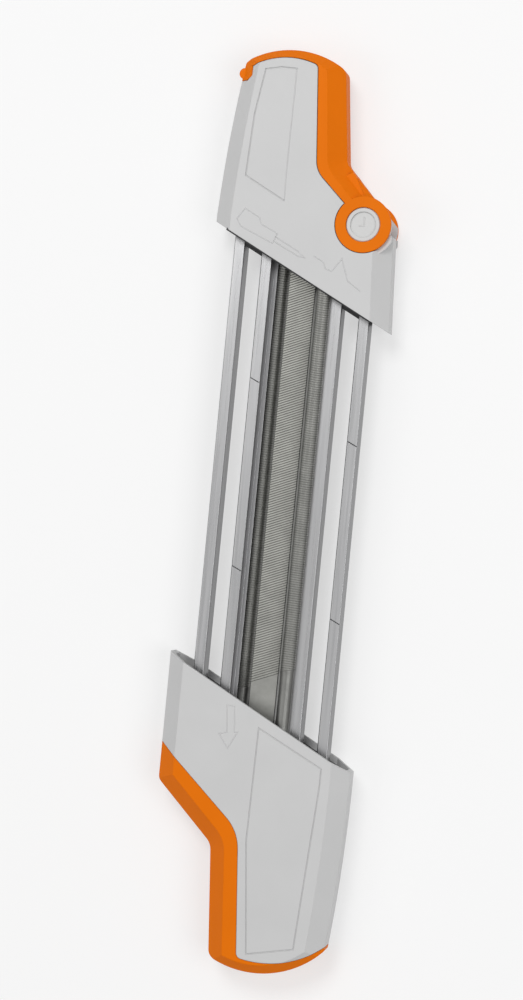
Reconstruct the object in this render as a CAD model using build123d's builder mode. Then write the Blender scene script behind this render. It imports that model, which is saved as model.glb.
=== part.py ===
import os
from math import radians, tan

from build123d import *

# Chainsaw file guide: two hollow handle ends joined by four rails, which carry two
# round files and one flat file between them. A locking lever closes the upper end.
# Millimetres. +Y runs along the tool to the lever end, +X to the right of the front
# face and +Z out of the front face. The rear face lies on z = 0.

os.makedirs("parts", exist_ok=True)

# Whole tool
end_reach = 62.8
face_margin = 1.84
wall = 1.6
side_wall_height = 8.2
bevel_width = 6.2
mouth_angle = 27.8
overrun = 30.0

# Files: diameters, lengths and how far they stand beyond the rails
round_file_diameter = 5.2
flat_file_width = 9.8
flat_file_thickness = 6.4
file_length = 200.0
round_file_offset = 8.7
round_axis_share = 0.3
depth_gauge_setting = 0.65

# Rails
rail_depth = 8.0
outer_rail_width = 3.85
outer_rail_offset = 23.55
inner_rail_width = 3.7
inner_rail_offset = 13.45
flange_reach = 1.35
flange_thickness = 1.0
rail_insertion = 18.0
rail_chamfer = 0.25
guide_mark_angle = 25.5
guide_mark_width = 0.35
guide_mark_depth = 0.2
inner_mark_places = (45.5, -21.6)
outer_mark_places = (26.0, -36.9)

# Clearances
running_gap = 0.07
rail_gap = 0.05
cradle_gap = 0.15
slide_gap = 0.05
lever_gap = 0.25
inlay_gap = 0.12
pad_gap = 0.35
pin_gap = 0.03

# Upper end outline, seen from the front and measured from the files' ends: rises and
# setbacks run along the tool, drops are measured back from the far end
upper_side_margin = 9.2
upper_mouth_setback = 16.75
upper_heel_setback = 34.0
upper_side_rise = 3.0
upper_side_mid = (1.55, 26.0)
upper_far_corner = (-27.4, 5.2)
upper_crown = -10.0
upper_grip_end = (8.7, 5.8)
upper_neck = (12.3, 24.4)
upper_shoulder = (1.85, 4.2)
upper_neck_radius = 4.0
upper_end_radius = 3.0
upper_far_radius = 1.5
upper_shoulder_radius = 3.0

# Lower end outline, in the same sense after half a turn of the tool
lower_side_margin = 10.7
lower_mouth_setback = 28.8
lower_heel_setback = 45.0
lower_side_rise = -2.0
lower_side_mid = (1.15, 28.0)
lower_far_corner = (-31.0, 10.3)
lower_crown = -6.5
lower_grip_end = (10.1, 4.2)
lower_neck = (13.2, 19.6)
lower_shoulder = (0.05, -1.1)
lower_neck_radius = 6.0
lower_end_radius = 3.0
lower_far_radius = 1.5
lower_shoulder_radius = 4.0

# Grey and orange parting lines: a crown and a far point are given across and as a drop
grip_band_lean = 0.082
upper_band_corner = (2.67, 20.5)
upper_band_radius = 9.0
upper_band_drop = 5.2
upper_band_crown = (-9.5, 3.1)
upper_band_far = (-24.0, 6.5)
lower_band_corner = (2.72, 13.4)
lower_band_radius = 16.0
lower_band_start = 28.0
lower_band_setback = 14.5
lower_band_angle = 42.6
lower_band_drop = 5.2
lower_band_crown = (-12.0, 4.4)
lower_band_far = (-32.0, 12.4)
band_corner_radius = 2.2
end_band = 3.3
ledge_width = 1.3
ledge_thickness = 1.4

# Lever pivot
pivot_x = 20.85
pivot_rise = 2.8
ring_radius = 9.9
ring_bore = 6.12
pivot_pin_radius = 2.4
hub_radius = 3.8
cap_dish_radius = 4.55
cap_dish_depth = 0.7
cap_recess = 0.35
cap_chamfer = 0.35
swing_start_angle = -15.0
hub_web_angle = 118.0
hub_web_width = 8.0
hub_web_length = 19.0
stop_bar_reach = -9.6
stop_bar_thickness = 3.8
stop_pad_thickness = 2.65
hook_drop = 11.6
hook_inner = -24.3
hook_corner = 1.6
hook_tip = (-27.4, 9.1)
hook_tip_radius = 2.0
hook_tip_half_height = 5.0
hook_sink = 3.0
hook_clearance = 0.2

# Carriers, posts and fasteners
carrier_setback = 2.5
upper_carrier_length = 9.0
lower_carrier_wall = 2.5
carrier_side_wall = 2.025
lower_carrier_step = (12.0, 14.8)
post_radius = 3.8
post_sides = 6
screw_radius = 1.25
screw_head_radius = 2.6
screw_head_height = 1.8
screw_head_depth = 2.2
screw_reach = 6.0
head_gap = 0.15
near_posts = ((-21.5, 18.0), (-24.5, 13.5))
far_posts = ((-18.5, 15.8), (-21.5, 16.8))

# Panel grooves on the front faces: points near the files, then points given as a drop
groove_width = 0.4
groove_depth = 0.25
upper_panel_near = ((-7.9, 9.0), (-22.6, 17.0), (-21.5, 39.0))
upper_panel_far = ((-19.0, 7.8), (-13.4, 6.8), (-7.6, 7.0))
lower_panel_near = ((-0.6, 16.5), (-1.2, -23.4), (-24.7, -11.6), (-24.7, -6.0))
lower_panel_far = ((-20.9, 10.5), (-4.4, 6.8))

# Sizes that follow from the ones above
round_radius = round_file_diameter / 2
round_file_rise = rail_depth / 2 + round_axis_share * round_file_diameter
depth = 2 * (round_file_rise + round_radius + face_margin)
mid = depth / 2
bevel_depth = (depth - side_wall_height) / 2
file_top = file_length / 2
half_length = file_top + end_reach
reach_out = half_length + overrun
carrier_half_width = outer_rail_offset + outer_rail_width / 2 + carrier_side_wall
upper_half_width = outer_rail_offset + upper_side_margin
lower_half_width = outer_rail_offset + lower_side_margin
pivot_y = file_top + pivot_rise
hook_low = half_length - hook_drop
hook_radius = Vector(hook_inner - pivot_x, hook_low + hook_corner - pivot_y).length

# Planes: each end is drawn outwards from the files' ends
upper_end = Plane(origin=(0, file_top, 0), x_dir=(1, 0, 0), z_dir=(0, 0, 1))
lower_end = Plane(origin=(0, -file_top, 0), x_dir=(-1, 0, 0), z_dir=(0, 0, 1))
mid_plane = Plane.XY.offset(mid)
mouth_slope = tan(radians(mouth_angle))


def mouth_at(setback, place):
    """Height of the slanted mouth in an end's own plane, at one place across it."""
    return -setback - place * mouth_slope


def from_far(points):
    """Points that are given as a place across and a drop from the far end."""
    return tuple((x, end_reach - drop) for x, drop in points)


def end_outline(half_width, heel, side_rise, side_mid, far, crown, grip, neck, shoulder, radii, stretch):
    """Outline of a handle end, with its far end moved out by stretch; a corner of no radius stays sharp."""
    neck_radius, end_radius, far_radius, shoulder_radius = radii
    far_out = (far[0], end_reach - far[1] + stretch)
    grip_out = (grip[0], end_reach - grip[1] + stretch)
    crown_out = (crown, end_reach + stretch)
    side_out = (side_mid[0] - half_width, side_mid[1])
    shoulder_out = (half_width - shoulder[0], shoulder[1])
    base = -heel - overrun
    with BuildSketch() as outline:
        with BuildLine():
            Polyline((-half_width, side_rise), (-half_width, base), (half_width, base), (half_width, -heel),
                     shoulder_out, neck, grip_out)
            ThreePointArc(grip_out, crown_out, far_out)
            ThreePointArc(far_out, side_out, (-half_width, side_rise))
        make_face()
        corners = ((neck, neck_radius), (grip_out, end_radius), (far_out, far_radius),
                   (shoulder_out, shoulder_radius))
        for corner, radius in corners:
            if radius:
                fillet(outline.vertices().sort_by_distance(corner)[0], radius)
    return outline.sketch


def beveled_form(end, outline, half_side, rise, bevel):
    """Solid with upright sides about the middle plane and a bevel to each face."""
    with BuildPart() as form:
        with BuildSketch(end.offset(mid)):
            add(outline)
        extrude(amount=half_side, both=True)
        extrude(form.faces().sort_by(Axis.Z)[-1], amount=rise, taper=bevel)
        extrude(form.faces().sort_by(Axis.Z)[0], amount=rise, taper=bevel)
    return form.part


def mouth_side(end, setback):
    """Block that holds all of an end beyond its slanted mouth."""
    with BuildPart() as block:
        with BuildSketch(end.offset(-overrun)):
            with BuildLine():
                low = mouth_at(setback, reach_out)
                high = mouth_at(setback, -reach_out)
                Polyline((reach_out, low), (reach_out, high + reach_out), (-reach_out, high + reach_out),
                         (-reach_out, high), close=True)
            make_face()
        extrude(amount=depth + 2 * overrun)
    return block.part


def prism(end, sketch, low, high):
    """Sketch of an end, drawn out between two heights above the rear face."""
    with BuildPart() as block:
        with BuildSketch(end.offset(low)):
            add(sketch)
        extrude(amount=high - low)
    return block.part


def band_edge(corner, corner_radius, start, crown_and_far, drop, shift):
    """Orange side of an end: everything beyond the parting line, moved out by shift."""
    crown, far = from_far(crown_and_far)
    band_end = end_reach - drop
    grip_top = (corner[0] - grip_band_lean * (band_end - corner[1]), band_end)
    with BuildSketch() as region:
        with BuildLine():
            Polyline(far, (-reach_out, far[1]), (-reach_out, reach_out), (reach_out, reach_out), *start,
                     corner, grip_top)
            ThreePointArc(grip_top, crown, far)
        make_face()
        fillet(region.vertices().sort_by_distance(corner)[0], corner_radius)
        fillet(region.vertices().sort_by_distance(grip_top)[0], band_corner_radius)
        if shift:
            offset(amount=shift, kind=Kind.INTERSECTION)
    return region.sketch


# The two ends' beveled forms and the hollows inside them
bevel_angle = 90 - Vector(bevel_width, bevel_depth).get_angle(Vector(bevel_width, 0))
inner_half_side = side_wall_height / 2 - wall * tan(radians(bevel_angle / 2))
inner_bevel_depth = mid - wall - inner_half_side
end_stretch = bevel_width - end_band

upper_radii = (upper_neck_radius, upper_end_radius, upper_far_radius, upper_shoulder_radius)
lower_radii = (lower_neck_radius, lower_end_radius, lower_far_radius, lower_shoulder_radius)
upper_shape = (upper_half_width, upper_heel_setback, upper_side_rise, upper_side_mid, upper_far_corner,
               upper_crown, upper_grip_end, upper_neck, upper_shoulder)
lower_shape = (lower_half_width, lower_heel_setback, lower_side_rise, lower_side_mid, lower_far_corner,
               lower_crown, lower_grip_end, lower_neck, lower_shoulder)
upper_outline = end_outline(*upper_shape, upper_radii, 0)
lower_outline = end_outline(*lower_shape, lower_radii, 0)


def hollow_end(end, shape, outline, neck_radius, setback):
    """Walled form of a handle end, and the plain form of its hollow; bevels meet in sharp creases."""
    stretched = end_outline(*shape, (neck_radius, 0, 0, 0), end_stretch)
    inner_outline = offset(outline, amount=-wall)
    inner_stretched = offset(stretched, amount=-wall)
    with BuildPart() as solid_form:
        add(beveled_form(end, stretched, side_wall_height / 2, bevel_depth, bevel_angle))
        add(prism(end, outline, 0, depth), mode=Mode.INTERSECT)
        add(mouth_side(end, setback), mode=Mode.INTERSECT)
    with BuildPart() as hollow:
        add(beveled_form(end, inner_stretched, inner_half_side, inner_bevel_depth, bevel_angle))
        add(prism(end, inner_outline, wall, depth - wall), mode=Mode.INTERSECT)
    return solid_form.part, hollow.part


upper_form, upper_hollow = hollow_end(upper_end, upper_shape, upper_outline, upper_neck_radius,
                                      upper_mouth_setback)
lower_form, lower_hollow = hollow_end(lower_end, lower_shape, lower_outline, lower_neck_radius,
                                      lower_mouth_setback)

# Orange regions of the two ends
swing_start = (reach_out, pivot_rise + (reach_out - pivot_x) * tan(radians(swing_start_angle)))
upper_band = (upper_band_corner, upper_band_radius, (swing_start, (pivot_x, pivot_rise)),
              (upper_band_crown, upper_band_far), upper_band_drop)
band_fall = (lower_band_start - lower_band_corner[0]) * tan(radians(lower_band_angle))
lower_band_points = ((reach_out, -lower_band_setback), (lower_half_width, -lower_band_setback),
                     (lower_band_start, lower_band_corner[1] - band_fall))
lower_band = (lower_band_corner, lower_band_radius, lower_band_points,
              (lower_band_crown, lower_band_far), lower_band_drop)
lever_region = band_edge(*upper_band, 0)
lever_clear_region = band_edge(*upper_band, lever_gap)
lever_seat_region = band_edge(*upper_band, lever_gap + ledge_width)
lever_ledge_region = band_edge(*upper_band, -ledge_width)
inlay_region = band_edge(*lower_band, 0)
inlay_clear_region = band_edge(*lower_band, inlay_gap)
inlay_seat_region = band_edge(*lower_band, inlay_gap + ledge_width)
inlay_ledge_region = band_edge(*lower_band, -ledge_width)

# Heights about the middle plane
inner_height = mid - wall
floor_top = inner_height - cradle_gap
floor_low = floor_top - ledge_thickness
hub_half_height = floor_low - lever_gap
hook_half_height = mid - hook_sink
floor_radius = ring_radius + lever_gap + ledge_thickness
pivot = (pivot_x, pivot_y)


def across(y):
    """Plane square to the tool at one place along it, drawn on in X and Z."""
    return Plane(origin=(0, y, mid), x_dir=(1, 0, 0), z_dir=(0, -1, 0))


def rail_ends(x):
    """Upper and lower ends of a rail that stands at one place across the tool."""
    top = file_top + mouth_at(upper_mouth_setback, x) + rail_insertion
    bottom = -file_top - mouth_at(lower_mouth_setback, -x) - rail_insertion
    return top, bottom


def inner_rail_section(side, growth):
    """Web with a thin flange that reaches in, at the front on the right and the rear on the left."""
    flange_length = inner_rail_width + flange_reach
    flange_x = side * (inner_rail_offset - flange_reach / 2)
    flange_y = side * (rail_depth - flange_thickness) / 2
    with BuildSketch() as section:
        with Locations((side * inner_rail_offset, 0)):
            Rectangle(inner_rail_width + 2 * growth, rail_depth + 2 * growth)
        with Locations((flange_x, flange_y)):
            Rectangle(flange_length + 2 * growth, flange_thickness + 2 * growth)
    return section.sketch


def rail_bar(x, sketch):
    """Rail section drawn out between its two ends."""
    top, bottom = rail_ends(x)
    with BuildPart() as bar:
        with BuildSketch(across(top)):
            add(sketch)
        extrude(amount=top - bottom)
    return bar.part


def bar_section(x, growth):
    """Section of a plain outer rail."""
    with BuildSketch() as section:
        with Locations((x, 0)):
            Rectangle(outer_rail_width + 2 * growth, rail_depth + 2 * growth)
    return section.sketch


def along(x, z, radius, top, bottom):
    """Round bar along the tool."""
    with BuildPart() as bar:
        with BuildSketch(across(top)):
            with Locations((x, z)):
                Circle(radius)
        extrude(amount=top - bottom)
    return bar.part


def upright(places, radius, low, high):
    """Round posts or pins that stand square to the faces."""
    with BuildPart() as posts:
        with BuildSketch(Plane.XY.offset(low)):
            with Locations(*places):
                Circle(radius)
        extrude(amount=high - low)
    return posts.part


# Places of the screw posts, in the tool's own frame
upper_near_post, lower_near_post = near_posts
upper_far_post, lower_far_post = from_far(far_posts)
upper_post_places = [(x, file_top + y) for x, y in (upper_near_post, upper_far_post)]
lower_post_places = [(-x, -file_top - y) for x, y in (lower_near_post, lower_far_post)]

seat_radius = round_radius + running_gap
flat_rest = -(rail_depth / 2 + depth_gauge_setting)
window_half_height = rail_depth / 2 + depth_gauge_setting + slide_gap

# Passages for the rails and files, cut in both carriers
with BuildPart() as rail_passages:
    for rail_x in (-outer_rail_offset, outer_rail_offset):
        add(rail_bar(rail_x, bar_section(rail_x, rail_gap)))
    for rail_side in (-1, 1):
        add(rail_bar(rail_side * inner_rail_offset, inner_rail_section(rail_side, rail_gap)))


def file_passages(top, bottom):
    """Round seats, open to the nearer face, and the flat file's window."""
    with BuildPart() as passages:
        for side in (-1, 1):
            add(along(side * round_file_offset, side * round_file_rise, seat_radius, top, bottom))
            with BuildSketch(across(top)):
                with Locations((side * round_file_offset, side * (round_file_rise + mid / 2))):
                    Rectangle(2 * seat_radius, mid)
            extrude(amount=top - bottom)
        with BuildSketch(across(top)):
            Rectangle(flat_file_width + 2 * cradle_gap, 2 * window_half_height)
        extrude(amount=top - bottom)
    return passages.part


def end_shells(end, form, hollow, clear_region, seat_region, ledge_region, posts):
    """Both shells of an end in one, before they are split at the middle plane."""
    with BuildPart() as posts_in_form:
        with BuildSketch():
            with Locations(*posts):
                RegularPolygon(post_radius, post_sides)
        extrude(amount=depth)
        add(form, mode=Mode.INTERSECT)
    with BuildPart() as ledge:
        add(prism(end, seat_region, wall, depth - wall))
        add(prism(end, ledge_region, 0, depth), mode=Mode.SUBTRACT)
        with BuildSketch(Plane.XY.offset(wall + ledge_thickness)):
            Rectangle(2 * reach_out, 2 * reach_out)
        extrude(amount=2 * (inner_height - ledge_thickness), mode=Mode.SUBTRACT)
        add(hollow, mode=Mode.INTERSECT)
        add(form, mode=Mode.INTERSECT)
    with BuildPart() as shells:
        add(form)
        add(hollow, mode=Mode.SUBTRACT)
        add(prism(end, clear_region, -overrun, depth + overrun), mode=Mode.SUBTRACT)
        add(ledge.part)
        add(posts_in_form.part)
    return shells.part


def screws(places):
    """Shell screws, with their heads in recesses of the rear face."""
    with BuildPart() as group:
        add(upright(places, screw_head_radius, screw_head_depth - screw_head_height, screw_head_depth))
        add(upright(places, screw_radius, screw_head_depth, mid + screw_reach))
    return group.part


def rear_screw_holes(places):
    """Head recesses and shank holes for the shell screws."""
    with BuildPart() as holes:
        add(upright(places, screw_head_radius + head_gap, 0, screw_head_depth))
        add(upright(places, screw_radius + pin_gap, 0, mid + screw_reach + head_gap))
    return holes.part


def groove(end, points, closed):
    """Shallow panel line in the front face."""
    with BuildPart() as line:
        with BuildSketch(end.offset(depth - groove_depth)):
            with BuildLine():
                Polyline(*points, close=closed)
            trace(line_width=groove_width)
        extrude(amount=groove_depth + wall)
    return line.part


# Upper end: shells with a floor under each ring and a cut for the lever's hook
upper_shells = end_shells(upper_end, upper_form, upper_hollow, lever_clear_region,
                          lever_seat_region, lever_ledge_region, upper_post_places)
with BuildPart() as pivot_floors:
    add(upright([pivot], floor_radius, mid - floor_top, mid + floor_top))
    add(prism(upper_end, lever_clear_region, -overrun, depth + overrun), mode=Mode.SUBTRACT)
    add(upright([pivot], ring_radius, mid - floor_top, mid + floor_top))
    with BuildSketch(Plane.XY.offset(mid - floor_low)):
        Rectangle(2 * reach_out, 2 * reach_out)
    extrude(amount=2 * floor_low, mode=Mode.SUBTRACT)
    add(prism(upper_end, upper_outline, 0, depth), mode=Mode.INTERSECT)
with BuildPart() as pivot_walls:
    add(upright([pivot], floor_radius, 0, depth))
    with BuildSketch(Plane.XY.offset(mid - floor_low)):
        Rectangle(2 * reach_out, 2 * reach_out)
    extrude(amount=2 * floor_low, mode=Mode.SUBTRACT)
    add(prism(upper_end, lever_clear_region, 0, depth), mode=Mode.SUBTRACT)
    add(upper_form, mode=Mode.INTERSECT)
with BuildPart() as ring_recesses:
    add(upright([pivot], ring_radius + lever_gap, mid + floor_top, depth + overrun))
    add(upright([pivot], ring_radius + lever_gap, -overrun, mid - floor_top))
with BuildPart() as hook_cut:
    with BuildSketch(Plane.XY.offset(-overrun)):
        with Locations((hook_inner + lever_gap - reach_out / 2, hook_low - hook_clearance + reach_out / 2)):
            Rectangle(reach_out, reach_out)
    extrude(amount=depth + 2 * overrun)
    with BuildSketch(Plane.XY.offset(mid - hook_half_height - hook_clearance)):
        with Locations((0, hook_low - hook_clearance + reach_out / 2)):
            Rectangle(2 * reach_out, reach_out)
    extrude(amount=2 * (hook_half_height + hook_clearance))
    add(upright([pivot], hook_radius - hook_clearance, -overrun, depth + overrun), mode=Mode.SUBTRACT)
with BuildPart() as upper_pair:
    add(upper_shells)
    add(pivot_walls.part)
    add(ring_recesses.part, mode=Mode.SUBTRACT)
    add(pivot_floors.part)
    add(upright([pivot], pivot_pin_radius + pin_gap, 0, depth), mode=Mode.SUBTRACT)
    add(along(round_file_offset, round_file_rise, seat_radius, file_top + upper_neck[1], 0),
        mode=Mode.SUBTRACT)
    add(hook_cut.part, mode=Mode.SUBTRACT)

with BuildPart() as upper_front_shell:
    add(upper_pair.part)
    split(bisect_by=mid_plane, keep=Keep.TOP)
    add(rear_screw_holes(upper_post_places), mode=Mode.SUBTRACT)
    add(groove(upper_end, upper_panel_near + from_far(upper_panel_far), False), mode=Mode.SUBTRACT)
upper_front_shell.part.label = "upper_front_shell"
export_step(upper_front_shell.part, "parts/upper_front_shell.step")

with BuildPart() as upper_rear_shell:
    add(upper_pair.part)
    split(bisect_by=mid_plane, keep=Keep.BOTTOM)
    add(rear_screw_holes(upper_post_places), mode=Mode.SUBTRACT)
upper_rear_shell.part.label = "upper_rear_shell"
export_step(upper_rear_shell.part, "parts/upper_rear_shell.step")

# Lower end: shells cut back for the orange grip inlay
lower_pair = end_shells(lower_end, lower_form, lower_hollow, inlay_clear_region,
                        inlay_seat_region, inlay_ledge_region, lower_post_places)

with BuildPart() as lower_front_shell:
    add(lower_pair)
    split(bisect_by=mid_plane, keep=Keep.TOP)
    add(rear_screw_holes(lower_post_places), mode=Mode.SUBTRACT)
    add(groove(lower_end, lower_panel_near + from_far(lower_panel_far), True), mode=Mode.SUBTRACT)
lower_front_shell.part.label = "lower_front_shell"
export_step(lower_front_shell.part, "parts/lower_front_shell.step")

with BuildPart() as lower_rear_shell:
    add(lower_pair)
    split(bisect_by=mid_plane, keep=Keep.BOTTOM)
    add(rear_screw_holes(lower_post_places), mode=Mode.SUBTRACT)
lower_rear_shell.part.label = "lower_rear_shell"
export_step(lower_rear_shell.part, "parts/lower_rear_shell.step")

with BuildPart() as lower_grip_inlay:
    add(lower_form)
    add(lower_hollow, mode=Mode.SUBTRACT)
    add(prism(lower_end, inlay_region, -overrun, depth + overrun), mode=Mode.INTERSECT)
lower_grip_inlay.part.label = "lower_grip_inlay"
export_step(lower_grip_inlay.part, "parts/lower_grip_inlay.step")

# Screws of both ends
with BuildPart() as upper_shell_screws:
    add(screws(upper_post_places))
upper_shell_screws.part.label = "upper_shell_screws"
export_step(upper_shell_screws.part, "parts/upper_shell_screws.step")

with BuildPart() as lower_shell_screws:
    add(screws(lower_post_places))
lower_shell_screws.part.label = "lower_shell_screws"
export_step(lower_shell_screws.part, "parts/lower_shell_screws.step")

# Locking lever: a walled arm with a ring on each face, a hub between them, a stop bar
# over the files' ends and a hook over the far corner
with BuildPart() as lever_hook:
    with BuildSketch(Plane.XY.offset(mid - hook_half_height)):
        with Locations((hook_inner - reach_out / 2, hook_low + reach_out / 2)):
            Rectangle(reach_out, reach_out)
    extrude(amount=2 * hook_half_height)
    add(upright([pivot], hook_radius, -overrun, depth + overrun), mode=Mode.SUBTRACT)

with BuildPart() as lever_hollow:
    add(upper_hollow)
    add(lever_hook.part, mode=Mode.SUBTRACT)

with BuildPart() as lever_space:
    add(prism(upper_end, lever_region, -overrun, depth + overrun))
    add(lever_hook.part)

with BuildPart() as lever_web:
    with BuildSketch(Plane.XY.offset(mid - hub_half_height)):
        with Locations(pivot):
            Rectangle(hub_web_length, hub_web_width, rotation=hub_web_angle, align=(Align.MIN, Align.CENTER))
    extrude(amount=2 * hub_half_height)
    add(prism(upper_end, upper_outline, 0, depth), mode=Mode.INTERSECT)

pad_low = file_top + pad_gap
bar_low = pad_low + stop_pad_thickness
with BuildPart() as locking_lever:
    add(upper_form)
    add(lever_hollow.part, mode=Mode.SUBTRACT)
    add(lever_space.part, mode=Mode.INTERSECT)
    add(upright([pivot], ring_radius + lever_gap, mid - inner_height, mid + inner_height), mode=Mode.SUBTRACT)
    with BuildSketch():
        with Locations(pivot):
            Rectangle(2 * floor_radius, floor_radius, align=(Align.MIN, Align.CENTER))
    extrude(amount=depth, mode=Mode.SUBTRACT)
    for low, high in ((0, wall), (depth - wall, depth)):
        add(upright([pivot], ring_radius, low, high))
    add(upright([pivot], ring_bore, -overrun, wall), mode=Mode.SUBTRACT)
    add(upright([pivot], ring_bore, depth - wall, depth + overrun), mode=Mode.SUBTRACT)
    add(upright([pivot], hub_radius, mid - hub_half_height, mid + hub_half_height))
    add(lever_web.part)
    add(upright([(hook_tip[0], half_length - hook_tip[1])], hook_tip_radius,
                mid - hook_tip_half_height, mid + hook_tip_half_height))
    with BuildSketch(Plane.XY.offset(mid - hub_half_height)):
        with BuildLine():
            Polyline((stop_bar_reach, bar_low), (pivot_x, bar_low), (pivot_x, bar_low + stop_bar_thickness),
                     (stop_bar_reach, bar_low + stop_bar_thickness), close=True)
        make_face()
    extrude(amount=2 * hub_half_height)
    add(upright([pivot], pivot_pin_radius + running_gap, 0, depth), mode=Mode.SUBTRACT)
locking_lever.part.label = "locking_lever"
export_step(locking_lever.part, "parts/locking_lever.step")

with BuildPart() as file_stop_pad:
    with BuildSketch(Plane.XY.offset(mid - hub_half_height)):
        with BuildLine():
            Polyline((stop_bar_reach, pad_low), (-stop_bar_reach, pad_low), (-stop_bar_reach, bar_low),
                     (stop_bar_reach, bar_low), close=True)
        make_face()
    extrude(amount=2 * hub_half_height)
file_stop_pad.part.label = "file_stop_pad"
export_step(file_stop_pad.part, "parts/file_stop_pad.step")

with BuildPart() as lever_pivot_pin:
    add(upright([pivot], pivot_pin_radius, mid - floor_top, mid + floor_top))
lever_pivot_pin.part.label = "lever_pivot_pin"
export_step(lever_pivot_pin.part, "parts/lever_pivot_pin.step")

# Dished caps on the pin, on which the lever's rings turn
cap_top = mid - cap_recess
cap_radius = ring_bore - running_gap
with BuildPart() as pivot_cap_front:
    add(upright([pivot], cap_radius, mid + floor_top, mid + cap_top))
    chamfer(pivot_cap_front.faces().sort_by(Axis.Z)[-1].edges(), cap_chamfer)
    add(upright([pivot], cap_dish_radius, mid + cap_top - cap_dish_depth, mid + cap_top), mode=Mode.SUBTRACT)
pivot_cap_front.part.label = "pivot_cap_front"
export_step(pivot_cap_front.part, "parts/pivot_cap_front.step")

with BuildPart() as pivot_cap_rear:
    add(pivot_cap_front.part)
    mirror(about=mid_plane, mode=Mode.REPLACE)
pivot_cap_rear.part.label = "pivot_cap_rear"
export_step(pivot_cap_rear.part, "parts/pivot_cap_rear.step")

# Rails with their edges eased and the filing angle marked across them
half_rail = rail_depth / 2


def marks(x, places, side):
    """Shallow lines at the filing angle across one face of a rail."""
    with BuildPart() as lines:
        with BuildSketch(Plane.XY.offset(mid + side * half_rail - guide_mark_depth)):
            with Locations(*[(x, y) for y in places]):
                Rectangle(2 * outer_rail_width, guide_mark_width, rotation=-guide_mark_angle)
        extrude(amount=2 * guide_mark_depth)
    return lines.part


def outer_rail(side, mark_face):
    """Plain outer rail."""
    x = side * outer_rail_offset
    with BuildPart() as rail:
        add(rail_bar(x, bar_section(x, 0)))
        chamfer(rail.edges().filter_by(Axis.Y), rail_chamfer)
        add(marks(x, outer_mark_places, mark_face), mode=Mode.SUBTRACT)
    return rail.part


def inner_rail(side, mark_face):
    """Flanged inner rail, hollowed along its lip to cradle the round file."""
    x = side * inner_rail_offset
    top, bottom = rail_ends(x)
    with BuildPart() as rail:
        add(rail_bar(x, inner_rail_section(side, 0)))
        chamfer(rail.edges().filter_by(Axis.Y).group_by(Axis.X)[0 if side < 0 else -1], rail_chamfer)
        add(along(side * round_file_offset, side * round_file_rise, round_radius + cradle_gap, top, bottom),
            mode=Mode.SUBTRACT)
        add(marks(x, inner_mark_places, mark_face), mode=Mode.SUBTRACT)
    return rail.part


with BuildPart() as outer_rail_left:
    add(outer_rail(-1, -1))
outer_rail_left.part.label = "outer_rail_left"
export_step(outer_rail_left.part, "parts/outer_rail_left.step")

with BuildPart() as inner_rail_left:
    add(inner_rail(-1, 1))
inner_rail_left.part.label = "inner_rail_left"
export_step(inner_rail_left.part, "parts/inner_rail_left.step")

with BuildPart() as inner_rail_right:
    add(inner_rail(1, -1))
inner_rail_right.part.label = "inner_rail_right"
export_step(inner_rail_right.part, "parts/inner_rail_right.step")

with BuildPart() as outer_rail_right:
    add(outer_rail(1, 1))
outer_rail_right.part.label = "outer_rail_right"
export_step(outer_rail_right.part, "parts/outer_rail_right.step")

# Files
with BuildPart() as front_round_file:
    add(along(round_file_offset, round_file_rise, round_radius, file_top, -file_top))
front_round_file.part.label = "front_round_file"
export_step(front_round_file.part, "parts/front_round_file.step")

with BuildPart() as rear_round_file:
    add(along(-round_file_offset, -round_file_rise, round_radius, file_top, -file_top))
rear_round_file.part.label = "rear_round_file"
export_step(rear_round_file.part, "parts/rear_round_file.step")

with BuildPart() as flat_file:
    with BuildSketch(across(file_top)):
        with Locations((0, flat_rest + flat_file_thickness / 2)):
            Rectangle(flat_file_width, flat_file_thickness)
    extrude(amount=file_length)
    chamfer(flat_file.edges().filter_by(Axis.Y), rail_chamfer)
flat_file.part.label = "flat_file"
export_step(flat_file.part, "parts/flat_file.step")

# Carriers: moulded blocks that hold the rails and the files' ends inside the shells
with BuildPart() as upper_file_carrier:
    with BuildSketch(upper_end):
        with BuildLine():
            near = upper_mouth_setback - carrier_setback
            far_line = near - upper_carrier_length
            Polyline((carrier_half_width, mouth_at(near, carrier_half_width)),
                     (carrier_half_width, mouth_at(far_line, carrier_half_width)),
                     (-carrier_half_width, mouth_at(far_line, -carrier_half_width)),
                     (-carrier_half_width, mouth_at(near, -carrier_half_width)), close=True)
        make_face()
    extrude(amount=depth)
    add(upper_hollow, mode=Mode.INTERSECT)
    add(rail_passages.part, mode=Mode.SUBTRACT)
    add(file_passages(half_length, -half_length), mode=Mode.SUBTRACT)
upper_file_carrier.part.label = "upper_file_carrier"
export_step(upper_file_carrier.part, "parts/upper_file_carrier.step")

with BuildPart() as lower_file_carrier:
    with BuildSketch(lower_end):
        with BuildLine():
            near = lower_mouth_setback - carrier_setback
            step_x, step_depth = lower_carrier_step
            step_y = mouth_at(near, carrier_half_width) + step_depth
            Polyline((carrier_half_width, mouth_at(near, carrier_half_width)), (carrier_half_width, step_y),
                     (step_x, step_y), (step_x, lower_carrier_wall), (-carrier_half_width, lower_carrier_wall),
                     (-carrier_half_width, mouth_at(near, -carrier_half_width)), close=True)
        make_face()
    extrude(amount=depth)
    add(lower_hollow, mode=Mode.INTERSECT)
    add(rail_passages.part, mode=Mode.SUBTRACT)
    add(file_passages(half_length, -file_top - slide_gap), mode=Mode.SUBTRACT)
lower_file_carrier.part.label = "lower_file_carrier"
export_step(lower_file_carrier.part, "parts/lower_file_carrier.step")
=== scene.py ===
import math

import bpy
from mathutils import Matrix, Vector


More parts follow.
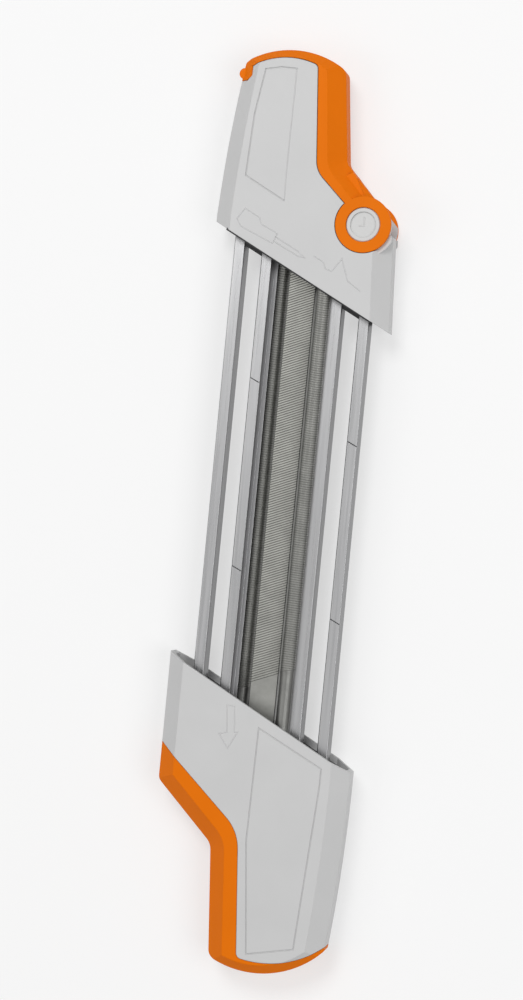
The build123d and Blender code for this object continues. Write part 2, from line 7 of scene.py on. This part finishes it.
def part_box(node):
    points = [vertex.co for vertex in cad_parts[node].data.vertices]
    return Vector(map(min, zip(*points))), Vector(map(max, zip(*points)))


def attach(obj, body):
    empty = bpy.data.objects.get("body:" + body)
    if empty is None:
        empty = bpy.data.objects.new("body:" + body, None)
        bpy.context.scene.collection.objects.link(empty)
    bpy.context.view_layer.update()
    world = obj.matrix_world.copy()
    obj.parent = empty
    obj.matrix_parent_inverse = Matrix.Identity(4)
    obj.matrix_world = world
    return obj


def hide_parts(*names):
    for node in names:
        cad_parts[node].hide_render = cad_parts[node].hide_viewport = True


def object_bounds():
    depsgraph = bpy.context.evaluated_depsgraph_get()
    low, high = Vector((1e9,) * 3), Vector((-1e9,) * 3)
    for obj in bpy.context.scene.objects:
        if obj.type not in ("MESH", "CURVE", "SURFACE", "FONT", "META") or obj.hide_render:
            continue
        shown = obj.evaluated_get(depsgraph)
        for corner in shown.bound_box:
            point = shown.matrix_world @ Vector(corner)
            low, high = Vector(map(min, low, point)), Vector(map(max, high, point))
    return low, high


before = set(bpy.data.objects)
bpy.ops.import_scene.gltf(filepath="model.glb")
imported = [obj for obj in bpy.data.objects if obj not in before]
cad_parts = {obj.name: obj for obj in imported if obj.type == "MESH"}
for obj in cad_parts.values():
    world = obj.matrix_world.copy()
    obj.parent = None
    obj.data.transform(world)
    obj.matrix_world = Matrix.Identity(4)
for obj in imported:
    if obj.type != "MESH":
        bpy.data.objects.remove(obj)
cad_low, cad_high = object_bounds()

# Metres, in the same frame as the solids: +Y along the tool to the lever end, +Z out
# of the front face, and the rear face on z = 0, just over the floor.
MM = 0.001
MID = (cad_low.z + cad_high.z) / 2
FRONT = cad_high.z

# Camera
VIEW_TARGET = Vector((-0.00757, 0.00336, MID))
VIEW_ANGLE = math.radians(10.8)
VIEW_LEAN = math.radians(5.53)
VIEW_DISTANCE = 0.9
VIEW_LENS = 91.0
VIEW_CLIP = 0.02

# Floor, surroundings and lights: name, place, size and power of each light
FLOOR_SIZE = 60.0
FLOOR_LEVEL = -0.2 * MM
FLOOR_COLOUR = (0.9, 0.9, 0.9)
FLOOR_ROUGHNESS = 0.9
FLOOR_GLOSS = 0.1
FLOOR_GLOW_SHARE = 0.55
WORLD_STRENGTH = 0.34
WORLD_SEEN_COLOUR = (0.95, 0.95, 0.95)
LIGHTS = (
    ("right_light", (0.8, -0.1, 1.1), 0.7, 5.5),
    ("left_light", (-0.85, -0.25, 1.1), 0.7, 2.4),
    ("head_light", (-0.22, 0.66, 1.3), 0.5, 8.0),
)

# Colours, in linear light
GREY = (0.585, 0.585, 0.585)
ORANGE = (0.8, 0.175, 0.003)
CAP_GREY = (0.61, 0.61, 0.605)
BLACK = (0.03, 0.03, 0.032)
STEEL = (0.37, 0.37, 0.375)
# Painted shade: darker colour for the rails' side faces, standing in for their shade
STEEL_SIDE_SHADE = (0.15, 0.15, 0.155)
PIN_STEEL = (0.5, 0.5, 0.49)
ROUND_FILE_STEEL = (0.25, 0.25, 0.235)
FLAT_FILE_STEEL = (0.34, 0.34, 0.315)
# Painted shade for the steep side of each file tooth
GULLET_SHADE_STEEL = (0.11, 0.11, 0.104)
SHANK_STEEL = (0.15, 0.15, 0.143)
RUBBER = (0.02, 0.02, 0.02)

# Surface detail: noise scales per metre and their stretch, shares of the base colour,
# depths of relief, and the radius over which edges are softly shaded
NOISE_SPAN = (0.3, 0.7)
EDGE_SAMPLES = 6
PLASTIC_CLOUDS = 60
PLASTIC_TONE_SHARES = (0.95, 1.03)
PLASTIC_GRAIN = 3200
PLASTIC_STRENGTH = 0.35
PLASTIC_RELIEF = 0.06 * MM
PLASTIC_EDGE = 0.35 * MM
SMALL_EDGE = 0.2 * MM
STEEL_TONE_SHARE = 0.86
STEEL_STRENGTH = 0.25
STEEL_RELIEF = 0.03 * MM
STEEL_EDGE = 0.15 * MM
ALONG_RAILS = (1, 0.02, 1)
FILE_PATCHES = 140
FILE_TONE_SHARES = (0.7, 1.35)
FILE_GRAIN = 2600
FILE_METALLIC = 0.85
FILE_STRENGTH = 0.3
FILE_RELIEF = 0.04 * MM
RUBBER_GRAIN = 1800
RUBBER_TONE_SHARE = 1.8
RUBBER_ROUGHNESS = (0.75, 0.9)
RUBBER_STRENGTH = 0.4
RUBBER_RELIEF = 0.08 * MM

# File teeth: the steep side of each tooth takes a share of the pitch and gets painted shade, a
# darker steel
STEEP_SHARE = 0.36
FLAT_PITCH = 0.9 * MM
FLAT_DEPTH = 0.16 * MM
FLAT_SLANT = 0.415
FLAT_EASE = 0.25 * MM
FLAT_TEETH_START = -0.0594
FLAT_TEETH_END = 0.097
FLAT_CUT_SIDES = (0, 1, 2, 4, 5, 6)
ROUND_PITCH = 0.62 * MM
ROUND_DEPTH = 0.12 * MM
ROUND_SLANT = 0.22
ROUND_SEGMENTS = 32
ROUND_EASE = 0.4 * MM
FRONT_TEETH_START = -0.0556
REAR_TEETH_START = -0.0642
SHANK_SHARE = 0.95
SHANK_GAP = 1.5 * MM

# Shell screws: shares of the head's radius and height, from its underside to its top
SCREW_SEGMENTS = 48
SCREW_APART = 8 * MM
SCREW_HEAD_HEIGHT = 1.8 * MM
SCREW_SHANK_SHARE = 0.48
SCREW_HEAD_SHARES = ((1.0, 1.0), (1.0, 0.35), (0.93, 0.12), (0.8, 0.0))
SOCKET_SHARES = ((0.6, 0.0), (0.54, 0.7))
SOCKET_LOBES = 6
SOCKET_LOBE_SHARE = 0.16

# Filing angle lines across the rails: their places along the tool, in millimetres
INNER_RAIL_X = 13.45
OUTER_RAIL_X = 23.55
RAIL_HALF_WIDTH = 1.75
RAIL_HALF_DEPTH = 4.0 * MM
INNER_LINE_PLACES = (45.5, -21.6)
OUTER_LINE_PLACES = (26.0, -36.9)
LINE_ANGLE = math.radians(25.5)
LINE_WIDTH = 0.34 * MM
LINE_HEIGHT = 0.1 * MM
LINE_SINK = 0.12 * MM

# Painted shade: dark strips under the upper mouth's front edge and between the rails there,
# with the edge's slope and its place at the middle of the tool, in millimetres
MOUTH_SLOPE = 0.5272
MOUTH_PLACE = 83.25
SHADE_STRIP_ENDS = (-27.7, 26.3)
SHADE_STRIP_WIDTH = 1.0 * MM
SHADE_STRIP_HEIGHT = 0.35 * MM
SHADE_STRIP_DROP = 1.0 * MM
SHADE_WEB_ENDS = (("left", -22.6, -14.3), ("right", 14.3, 22.6))
SHADE_WEB_SHIFT = 0.2
SHADE_WEB_WIDTH = 2.8 * MM
SHADE_WEB_LEVEL = 3.3 * MM

# Raised marks on the front faces: outlines and paths in millimetres
MARK_WIDTH = 0.45 * MM
MARK_HEIGHT = 0.12 * MM
MITRE_LIMIT = 0.45
ARROW = (
    (-10.85, -69.7), (-8.15, -69.7), (-7.3, -78.9), (-6.2, -78.8), (-9.2, -84.8),
    (-12.7, -80.0), (-9.95, -79.2),
)
SAW_BODY = (
    (-24.2, 101.6), (-21.6, 105.4), (-16.2, 102.6), (-15.2, 100.2), (-9.2, 97.4),
    (-10.6, 93.8), (-22.6, 99.0),
)
SAW_BAR = ((-9.9, 96.2), (-1.4, 91.8), (1.2, 89.6), (-1.0, 89.9), (-10.3, 94.6))
PANEL_EDGE = ((-7.9, 109.4), (-8.1, 118.4), (-8.05, 132.4), (-7.9, 145.0), (-7.9, 155.4))
CUTTER = (
    (4.6, 90.4), (8.2, 88.6), (9.0, 86.4), (11.4, 85.6), (14.6, 90.2), (17.4, 82.6),
    (22.1, 79.4),
)

# Rib in the front cap's dish: path from the cap's axis in millimetres, and its section
RIB = ((0.2, 2.8), (0.2, -0.3), (-1.5, -0.5))
RIB_WIDTH = 0.6 * MM
RIB_HEIGHT = 0.18 * MM
RIB_DROP = 0.7 * MM


def noise(nodes, links, vector, scale, detail, roughness=0.5):
    """Noise texture on the given coordinates."""
    node = nodes.new("ShaderNodeTexNoise")
    node.inputs["Scale"].default_value = scale
    node.inputs["Detail"].default_value = detail
    node.inputs["Roughness"].default_value = roughness
    links.new(vector, node.inputs["Vector"])
    return node.outputs["Fac"]


def spread(nodes, links, factor, low, high):
    """Maps noise, which stays near the middle, to a range of values."""
    node = nodes.new("ShaderNodeMapRange")
    node.inputs["From Min"].default_value = NOISE_SPAN[0]
    node.inputs["From Max"].default_value = NOISE_SPAN[1]
    node.inputs["To Min"].default_value = low
    node.inputs["To Max"].default_value = high
    links.new(factor, node.inputs["Value"])
    return node.outputs["Result"]


def shade_between(nodes, links, factor, dark, light):
    """Blend of two colours by a factor."""
    node = nodes.new("ShaderNodeMix")
    node.data_type = "RGBA"
    node.inputs["A"].default_value = (*dark, 1)
    node.inputs["B"].default_value = (*light, 1)
    links.new(factor, node.inputs["Factor"])
    return node.outputs["Result"]


def toned(colour, share):
    """Lighter or darker form of a colour."""
    return tuple(min(1.0, share * part) for part in colour)


def new_material(name, stretch=(1, 1, 1)):
    """Empty node material with object coordinates, stretched along the axes."""
    material = bpy.data.materials.new(name)
    material.use_nodes = True
    nodes = material.node_tree.nodes
    links = material.node_tree.links
    shader = nodes["Principled BSDF"]
    where = nodes.new("ShaderNodeTexCoord")
    mapping = nodes.new("ShaderNodeMapping")
    mapping.inputs["Scale"].default_value = stretch
    links.new(where.outputs["Object"], mapping.inputs["Vector"])
    return material, nodes, links, shader, mapping.outputs["Vector"]


def add_bump(nodes, links, shader, height, strength, distance, rounding=0.0):
    """Fine surface relief, over softly rounded edges where rounding is given."""
    bump = nodes.new("ShaderNodeBump")
    bump.inputs["Strength"].default_value = strength
    bump.inputs["Distance"].default_value = distance
    links.new(height, bump.inputs["Height"])
    if rounding:
        edges = nodes.new("ShaderNodeBevel")
        edges.samples = EDGE_SAMPLES
        edges.inputs["Radius"].default_value = rounding
        links.new(edges.outputs["Normal"], bump.inputs["Normal"])
    links.new(bump.outputs["Normal"], shader.inputs["Normal"])


def moulded_plastic(name, colour, roughness=(0.42, 0.58), rounding=PLASTIC_EDGE, gloss=0.4):
    """Moulded plastic with a fine eroded grain and slight clouds in its colour."""
    material, nodes, links, shader, where = new_material(name)
    clouds = noise(nodes, links, where, PLASTIC_CLOUDS, detail=3)
    dark, light = (toned(colour, share) for share in PLASTIC_TONE_SHARES)
    links.new(shade_between(nodes, links, clouds, dark, light), shader.inputs["Base Color"])
    fine = noise(nodes, links, where, PLASTIC_GRAIN, detail=4, roughness=0.6)
    links.new(spread(nodes, links, fine, *roughness), shader.inputs["Roughness"])
    shader.inputs["Specular IOR Level"].default_value = gloss
    add_bump(nodes, links, shader, fine, PLASTIC_STRENGTH, PLASTIC_RELIEF, rounding)
    return material


def facing_front(nodes, links):
    """1 on faces that look along Z, 0 on the sides, whatever the view; the mask for the rails'
    painted side shade.
    """
    where = nodes.new("ShaderNodeTexCoord")
    parts = nodes.new("ShaderNodeSeparateXYZ")
    links.new(where.outputs["Normal"], parts.inputs["Vector"])
    size = nodes.new("ShaderNodeMath")
    size.operation = "ABSOLUTE"
    links.new(parts.outputs["Z"], size.inputs[0])
    return size.outputs["Value"]


def drawn_steel(name, colour, roughness, stretch=(1, 1, 1), lines=900, side=None):
    """Steel with fine lines along its drawing direction, and painted shade darkening its side faces
    where given.
    """
    material, nodes, links, shader, where = new_material(name, stretch)
    streaks = noise(nodes, links, where, lines, detail=5, roughness=0.65)
    tone = shade_between(nodes, links, streaks, toned(colour, STEEL_TONE_SHARE), colour)
    # Painted shade: faces that look sideways are blended towards a darker colour
    if side is not None:
        mix = nodes.new("ShaderNodeMix")
        mix.data_type = "RGBA"
        mix.inputs["A"].default_value = (*side, 1)
        links.new(tone, mix.inputs["B"])
        links.new(facing_front(nodes, links), mix.inputs["Factor"])
        tone = mix.outputs["Result"]
    links.new(tone, shader.inputs["Base Color"])
    links.new(spread(nodes, links, streaks, *roughness), shader.inputs["Roughness"])
    shader.inputs["Metallic"].default_value = 1.0
    add_bump(nodes, links, shader, streaks, STEEL_STRENGTH, STEEL_RELIEF, STEEL_EDGE)
    return material


def cut_steel(name, colour, roughness):
    """Hardened file steel: dark, with filings' dust and uneven sheen."""
    material, nodes, links, shader, where = new_material(name)
    patches = noise(nodes, links, where, FILE_PATCHES, detail=6, roughness=0.7)
    dark, light = (toned(colour, share) for share in FILE_TONE_SHARES)
    links.new(shade_between(nodes, links, patches, dark, light), shader.inputs["Base Color"])
    fine = noise(nodes, links, where, FILE_GRAIN, detail=3)
    links.new(spread(nodes, links, fine, *roughness), shader.inputs["Roughness"])
    shader.inputs["Metallic"].default_value = FILE_METALLIC
    add_bump(nodes, links, shader, fine, FILE_STRENGTH, FILE_RELIEF)
    return material


def matte_rubber(name, colour):
    """Dull rubber with a soft grain."""
    material, nodes, links, shader, where = new_material(name)
    fine = noise(nodes, links, where, RUBBER_GRAIN, detail=4)
    light = toned(colour, RUBBER_TONE_SHARE)
    links.new(shade_between(nodes, links, fine, colour, light), shader.inputs["Base Color"])
    links.new(spread(nodes, links, fine, *RUBBER_ROUGHNESS), shader.inputs["Roughness"])
    add_bump(nodes, links, shader, fine, RUBBER_STRENGTH, RUBBER_RELIEF)
    return material


grey_plastic = moulded_plastic("grey_plastic", GREY)
orange_plastic = moulded_plastic("orange_plastic", ORANGE, roughness=(0.4, 0.55), gloss=0.05)
cap_plastic = moulded_plastic("cap_plastic", CAP_GREY, rounding=SMALL_EDGE)
# Black plastic for the carriers and rail lines, also used for the painted shade strips in the mouth
black_plastic = moulded_plastic("black_plastic", BLACK, rounding=SMALL_EDGE)
# The rails get painted shade on their side faces
rail_steel = drawn_steel("rail_steel", STEEL, stretch=ALONG_RAILS, roughness=(0.24, 0.34),
                         side=STEEL_SIDE_SHADE)
pin_steel = drawn_steel("pin_steel", PIN_STEEL, roughness=(0.25, 0.4), lines=1500)
round_file_steel = cut_steel("round_file_steel", ROUND_FILE_STEEL, roughness=(0.3, 0.45))
flat_file_steel = cut_steel("flat_file_steel", FLAT_FILE_STEEL, roughness=(0.38, 0.6))
# Painted shade: darker copy of the file steel for the teeth's steep sides
gullet_shade_steel = cut_steel("gullet_shade_steel", GULLET_SHADE_STEEL, roughness=(0.5, 0.7))
shank_steel = cut_steel("shank_steel", SHANK_STEEL, roughness=(0.36, 0.5))
pad_rubber = matte_rubber("pad_rubber", RUBBER)

NODE_MATERIALS = {
    "upper_front_shell": grey_plastic,
    "upper_rear_shell": grey_plastic,
    "lower_front_shell": grey_plastic,
    "lower_rear_shell": grey_plastic,
    "lower_grip_inlay": orange_plastic,
    "locking_lever": orange_plastic,
    "file_stop_pad": pad_rubber,
    "lever_pivot_pin": pin_steel,
    "pivot_cap_front": cap_plastic,
    "pivot_cap_rear": cap_plastic,
    "upper_file_carrier": black_plastic,
    "lower_file_carrier": black_plastic,
    "outer_rail_left": rail_steel,
    "inner_rail_left": rail_steel,
    "inner_rail_right": rail_steel,
    "outer_rail_right": rail_steel,
}


def dress(node, material):
    """Gives a node of the frame its material."""
    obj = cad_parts[node]
    obj.data.materials.clear()
    obj.data.materials.append(material)


def add_piece(name, points, faces, material, body):
    """Flat shaded mesh piece that rides on a body."""
    mesh = bpy.data.meshes.new(name)
    mesh.from_pydata(points, [], faces)
    mesh.validate()
    mesh.update()
    mesh.shade_flat()
    mesh.materials.append(material)
    piece = bpy.data.objects.new(name, mesh)
    bpy.context.scene.collection.objects.link(piece)
    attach(piece, body)
    return piece


def skin(rings, closed=False):
    """Points and faces of a tube through rings of equal counts, with capped ends unless closed."""
    count = len(rings[0])
    points = [point for ring in rings for point in ring]
    faces = []
    spans = len(rings) if closed else len(rings) - 1
    for span in range(spans):
        low = span * count
        high = (span + 1) % len(rings) * count
        for step in range(count):
            after = (step + 1) % count
            faces.append((low + step, low + after, high + after, high + step))
    if not closed:
        faces.append(tuple(reversed(range(count))))
        faces.append(tuple((len(rings) - 1) * count + step for step in range(count)))
    return points, faces


def circle(centre, radius, count, level, lobes=0, lobe_depth=0.0):
    """Ring of points square to Z, with lobes where asked."""
    ring = []
    for step in range(count):
        turn = math.tau * step / count
        reach = radius - lobe_depth * (1 - math.cos(lobes * turn)) / 2
        x = centre[0] + reach * math.cos(turn)
        y = centre[1] + reach * math.sin(turn)
        ring.append((x, y, level))
    return ring


def dress_file(piece, steep_spans, smooth_spans, count, cut_sides, smooth_steel):
    """Painted shade as a darker steel on the steep side of each tooth, and another steel on the
    smooth end.
    """
    gullet_index, smooth_index = 1, 2
    piece.data.materials.append(gullet_shade_steel)
    piece.data.materials.append(smooth_steel)
    for span in steep_spans:
        for side in cut_sides:
            piece.data.polygons[span * count + side].material_index = gullet_index
    for face in piece.data.polygons[:smooth_spans * count]:
        face.material_index = smooth_index


def round_file(node, teeth_start, body):
    """Round file with slanted cuts all round and a smooth shank at its lower end."""
    low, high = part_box(node)
    centre_x = (low.x + high.x) / 2
    centre_z = (low.z + high.z) / 2
    radius = (high.x - low.x) / 2
    shank = SHANK_SHARE * radius

    def ring(y, reach, slant=0.0):
        points = []
        for step in range(ROUND_SEGMENTS):
            turn = math.tau * step / ROUND_SEGMENTS
            x = reach * math.sin(turn)
            points.append((centre_x + x, y + slant * x, centre_z + reach * math.cos(turn)))
        return points

    rings = [
        ring(low.y, shank - ROUND_EASE),
        ring(low.y + ROUND_EASE, shank),
        ring(teeth_start - SHANK_GAP, shank),
    ]
    smooth_spans = len(rings)
    steep_spans = []
    teeth = int((high.y - 2 * ROUND_PITCH - teeth_start) / ROUND_PITCH)
    for tooth in range(teeth):
        y = teeth_start + tooth * ROUND_PITCH
        steep_spans.append(len(rings))
        rings.append(ring(y, radius, ROUND_SLANT))
        rings.append(ring(y + STEEP_SHARE * ROUND_PITCH, radius - ROUND_DEPTH, ROUND_SLANT))
    rings.append(ring(high.y - ROUND_EASE, shank))
    rings.append(ring(high.y, shank - ROUND_EASE))
    points, faces = skin(rings)
    piece = add_piece(node + "_cut", points, faces, round_file_steel, body)
    dress_file(piece, steep_spans, smooth_spans, ROUND_SEGMENTS, range(ROUND_SEGMENTS),
               shank_steel)
    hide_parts(node)


def flat_file():
    """Flat file with slanted teeth on both faces, plain edges and a smooth lower end."""
    low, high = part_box("flat_file")
    half_width = (high.x - low.x) / 2
    centre_x = (low.x + high.x) / 2

    def ring(y, slant, cut):
        front = high.z - cut
        back = low.z + cut
        corners = (
            (-half_width, back + FLAT_EASE + cut),
            (-half_width + FLAT_EASE, back),
            (half_width - FLAT_EASE, back),
            (half_width, back + FLAT_EASE + cut),
            (half_width, front - FLAT_EASE - cut),
            (half_width - FLAT_EASE, front),
            (-half_width + FLAT_EASE, front),
            (-half_width, front - FLAT_EASE - cut),
        )
        return [(centre_x + x, y + slant * x, z) for x, z in corners]

    smooth_cut = FLAT_DEPTH / 2
    rings = [
        ring(low.y, 0.0, smooth_cut),
        ring(FLAT_TEETH_START - 2 * FLAT_PITCH, FLAT_SLANT, smooth_cut),
    ]
    smooth_spans = len(rings)
    steep_spans = []
    teeth = int((FLAT_TEETH_END - FLAT_TEETH_START) / FLAT_PITCH)
    for tooth in range(teeth):
        y = FLAT_TEETH_START + tooth * FLAT_PITCH
        steep_spans.append(len(rings))
        rings.append(ring(y, FLAT_SLANT, 0.0))
        rings.append(ring(y + STEEP_SHARE * FLAT_PITCH, FLAT_SLANT, FLAT_DEPTH))
    rings.append(ring(high.y, 0.0, smooth_cut))
    points, faces = skin(rings)
    piece = add_piece("flat_file_cut", points, faces, flat_file_steel, "gauge_file")
    dress_file(piece, steep_spans, smooth_spans, len(rings[0]), FLAT_CUT_SIDES,
               round_file_steel)
    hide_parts("flat_file")


def islands(node):
    """Centres across the tool and radii of a node's separate solids, such as its screws."""
    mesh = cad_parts[node].data
    places = []
    for vertex in mesh.vertices:
        spot = Vector((vertex.co.x, vertex.co.y))
        for place in places:
            if (place["mean"] - spot).length < SCREW_APART:
                place["low"] = Vector(map(min, place["low"], spot))
                place["high"] = Vector(map(max, place["high"], spot))
                break
        else:
            places.append({"mean": spot, "low": spot.copy(), "high": spot.copy()})
    return [
        ((place["low"] + place["high"]) / 2, (place["high"].x - place["low"].x) / 2)
        for place in places
    ]


def shell_screws(node):
    """Screws with a rounded head and a lobed socket."""
    low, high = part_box(node)
    points, faces = [], []
    for centre, radius in islands(node):
        shank = SCREW_SHANK_SHARE * radius
        lobe_depth = SOCKET_LOBE_SHARE * radius
        rings = [
            circle(centre, shank, SCREW_SEGMENTS, high.z),
            circle(centre, shank, SCREW_SEGMENTS, low.z + SCREW_HEAD_HEIGHT),
        ]
        for reach, height in SCREW_HEAD_SHARES:
            level = low.z + height * SCREW_HEAD_HEIGHT
            rings.append(circle(centre, reach * radius, SCREW_SEGMENTS, level))
        for reach, height in SOCKET_SHARES:
            level = low.z + height * SCREW_HEAD_HEIGHT
            rings.append(circle(centre, reach * radius, SCREW_SEGMENTS, level, SOCKET_LOBES,
                                lobe_depth))
        some_points, some_faces = skin(rings)
        shift = len(points)
        points += some_points
        faces += [tuple(shift + index for index in face) for face in some_faces]
    piece = add_piece(node + "_cut", points, faces, pin_steel, "frame")
    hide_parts(node)


def raised_line(name, places, level, material, closed=False, width=MARK_WIDTH,
                height=MARK_HEIGHT):
    """Low line along a path in millimetres, half over and half under the given level."""
    path = [Vector(place) * MM for place in places]
    foot = width / 2
    crest = foot - height
    rings = []
    for index, here in enumerate(path):
        before = path[index - 1] if closed or index else None
        after = path[(index + 1) % len(path)] if closed or index < len(path) - 1 else None
        into = ((here - before) if before is not None else (after - here)).normalized()
        out = (after - here).normalized() if after is not None else into
        along = (into + out).normalized()
        side = Vector((-along.y, along.x)) / max(MITRE_LIMIT, along.dot(into))
        rings.append([
            (*(here - side * foot), level - height),
            (*(here - side * foot), level),
            (*(here - side * crest), level + height),
            (*(here + side * crest), level + height),
            (*(here + side * foot), level),
            (*(here + side * foot), level - height),
        ])
    points, faces = skin(rings, closed)
    return add_piece(name, points, faces, material, "frame")


def front_marks():
    """Plain signs on the front: an arrow for the filing stroke, a saw, a panel's edge, a cutter."""
    marks = (
        ("arrow_mark", ARROW, True),
        ("saw_body_mark", SAW_BODY, True),
        ("saw_bar_mark", SAW_BAR, False),
        ("panel_edge_mark", PANEL_EDGE, False),
        ("cutter_mark", CUTTER, False),
    )
    for name, places, closed in marks:
        raised_line(name, places, FRONT, grey_plastic, closed)


def rail_lines():
    """Blackened fill in the filing angle lines, which each face has on two rails."""
    rise = RAIL_HALF_WIDTH * math.tan(LINE_ANGLE)
    lines = (
        ("left_front", -INNER_RAIL_X, INNER_LINE_PLACES, 1),
        ("right_front", OUTER_RAIL_X, OUTER_LINE_PLACES, 1),
        ("left_rear", -OUTER_RAIL_X, OUTER_LINE_PLACES, -1),
        ("right_rear", INNER_RAIL_X, INNER_LINE_PLACES, -1),
    )
    for name, x, places, side in lines:
        level = MID + side * (RAIL_HALF_DEPTH - LINE_SINK)
        for number, y in enumerate(places, 1):
            ends = ((x - RAIL_HALF_WIDTH, y + rise), (x + RAIL_HALF_WIDTH, y - rise))
            raised_line(f"rail_line_{name}_{number}", ends, level, black_plastic,
                        width=LINE_WIDTH, height=LINE_HEIGHT)


def mouth_shade_strips():
    """Painted shade: dark strips just under the upper mouth's front edge and between the rails,
    where the mouth is in shade.
    """
    def ends(low, high, shift=0.0):
        return tuple((x, MOUTH_PLACE - shift - MOUTH_SLOPE * x) for x in (low, high))

    raised_line("mouth_shade_strip", ends(*SHADE_STRIP_ENDS), FRONT - SHADE_STRIP_DROP, black_plastic,
                width=SHADE_STRIP_WIDTH, height=SHADE_STRIP_HEIGHT)
    for name, low, high in SHADE_WEB_ENDS:
        raised_line(f"mouth_shade_web_{name}", ends(low, high, SHADE_WEB_SHIFT), MID + SHADE_WEB_LEVEL,
                    black_plastic, width=SHADE_WEB_WIDTH, height=SHADE_STRIP_HEIGHT)


def cap_marks():
    """Small moulding rib in the front cap's dish."""
    low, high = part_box("pivot_cap_front")
    x = (low.x + high.x) / 2 / MM
    y = (low.y + high.y) / 2 / MM
    rib = tuple((x + aside, y + along) for aside, along in RIB)
    raised_line("cap_rib", rib, high.z - RIB_DROP, cap_plastic,
                width=RIB_WIDTH, height=RIB_HEIGHT)


def seen_rays(nodes, links):
    """1 for rays from the camera, from reflections and through clear parts."""
    path = nodes.new("ShaderNodeLightPath")
    total = path.outputs["Is Camera Ray"]
    for ray in ("Is Glossy Ray", "Is Transmission Ray"):
        join = nodes.new("ShaderNodeMath")
        join.operation = "MAXIMUM"
        links.new(total, join.inputs[0])
        links.new(path.outputs[ray], join.inputs[1])
        total = join.outputs["Value"]
    return total


def floor_material():
    """Pale matte floor that reads nearly white when seen and keeps soft shadows."""
    material, nodes, links, shader, _ = new_material("floor")
    shader.inputs["Base Color"].default_value = (*FLOOR_COLOUR, 1)
    shader.inputs["Roughness"].default_value = FLOOR_ROUGHNESS
    shader.inputs["Specular IOR Level"].default_value = FLOOR_GLOSS
    glow = nodes.new("ShaderNodeEmission")
    glow.inputs["Strength"].default_value = 1.0
    share = nodes.new("ShaderNodeMath")
    share.operation = "MULTIPLY"
    share.inputs[1].default_value = FLOOR_GLOW_SHARE
    links.new(seen_rays(nodes, links), share.inputs[0])
    blend = nodes.new("ShaderNodeMixShader")
    links.new(share.outputs["Value"], blend.inputs["Fac"])
    links.new(shader.outputs["BSDF"], blend.inputs[1])
    links.new(glow.outputs["Emission"], blend.inputs[2])
    links.new(blend.outputs["Shader"], nodes["Material Output"].inputs["Surface"])
    return material


def studio_world():
    """Soft white surroundings, dimmer as light than they look."""
    world = bpy.data.worlds.new("studio")
    world.use_nodes = True
    nodes = world.node_tree.nodes
    links = world.node_tree.links
    lit = nodes["Background"]
    lit.inputs["Color"].default_value = (1, 1, 1, 1)
    lit.inputs["Strength"].default_value = WORLD_STRENGTH
    seen = nodes.new("ShaderNodeBackground")
    seen.inputs["Color"].default_value = (*WORLD_SEEN_COLOUR, 1)
    seen.inputs["Strength"].default_value = 1.0
    blend = nodes.new("ShaderNodeMixShader")
    links.new(seen_rays(nodes, links), blend.inputs["Fac"])
    links.new(lit.outputs["Background"], blend.inputs[1])
    links.new(seen.outputs["Background"], blend.inputs[2])
    links.new(blend.outputs["Shader"], nodes["World Output"].inputs["Surface"])
    return world


def lay_floor():
    """Wide floor just under the tool."""
    half = FLOOR_SIZE / 2
    mesh = bpy.data.meshes.new("floor")
    corners = ((-half, -half), (half, -half), (half, half), (-half, half))
    mesh.from_pydata([(x, y, FLOOR_LEVEL) for x, y in corners], [], [(0, 1, 2, 3)])
    mesh.materials.append(floor_material())
    floor = bpy.data.objects.new("floor", mesh)
    bpy.context.scene.collection.objects.link(floor)


def place_camera():
    """Camera over the tool, turned to its right and leaned as in the photograph."""
    back = Vector((math.sin(VIEW_ANGLE), 0, math.cos(VIEW_ANGLE)))
    level = Vector((math.cos(VIEW_ANGLE), 0, -math.sin(VIEW_ANGLE)))
    along = Vector((0, 1, 0))
    right = math.cos(VIEW_LEAN) * level + math.sin(VIEW_LEAN) * along
    up = math.cos(VIEW_LEAN) * along - math.sin(VIEW_LEAN) * level
    camera = bpy.data.objects.new("camera", bpy.data.cameras.new("camera"))
    camera.data.lens = VIEW_LENS
    camera.data.clip_start = VIEW_CLIP
    turn = Matrix((right, up, back)).transposed().to_4x4()
    camera.matrix_world = Matrix.Translation(VIEW_TARGET + VIEW_DISTANCE * back) @ turn
    bpy.context.scene.collection.objects.link(camera)
    bpy.context.scene.camera = camera


def softbox(name, place, size, power):
    """Square area light that faces the tool."""
    light = bpy.data.lights.new(name, "AREA")
    light.shape = "SQUARE"
    light.size = size
    light.energy = power
    lamp = bpy.data.objects.new(name, light)
    lamp.location = place
    lamp.rotation_euler = (VIEW_TARGET - Vector(place)).to_track_quat("-Z", "Y").to_euler()
    bpy.context.scene.collection.objects.link(lamp)


for node_name, node_material in NODE_MATERIALS.items():
    dress(node_name, node_material)
round_file("front_round_file", FRONT_TEETH_START, "front_file")
round_file("rear_round_file", REAR_TEETH_START, "rear_file")
flat_file()
shell_screws("upper_shell_screws")
shell_screws("lower_shell_screws")
front_marks()
rail_lines()
# Painted shade: dark strips in the upper mouth
mouth_shade_strips()
cap_marks()
lay_floor()
place_camera()
bpy.context.scene.world = studio_world()
for light_values in LIGHTS:
    softbox(*light_values)
bpy.context.scene.view_settings.view_transform = "Standard"
